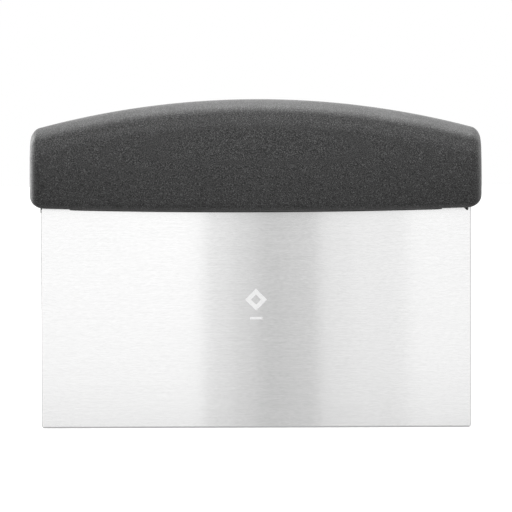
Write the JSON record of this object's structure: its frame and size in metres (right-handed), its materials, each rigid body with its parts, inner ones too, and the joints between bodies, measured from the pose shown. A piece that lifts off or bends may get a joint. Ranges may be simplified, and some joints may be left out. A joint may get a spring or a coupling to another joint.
{
  "type": "bench scraper",
  "caption": "Bench scraper: a flat, straight-edged steel blade moulded into a full-width grip with an arched back, for cutting and lifting dough and clearing a work surface.",
  "frame": {"origin": "middle of the scraping edge, on the surface that the edge stands on", "axes": "+Z from the scraping edge up to the handle, +X along the blade and the handle, +Y through the blade's thickness; the front broad face looks along -Y"},
  "size_m": [0.1596, 0.022, 0.1166],
  "materials": {
    "blade_steel": "satin",
    "core_plastic": "satin",
    "grip_plastic": "matte"
  },
  "bodies": {
    "root": {"blade": "blade_steel", "handle_core": "core_plastic", "handle_grip": "grip_plastic"}
  },
  "joints": []
}
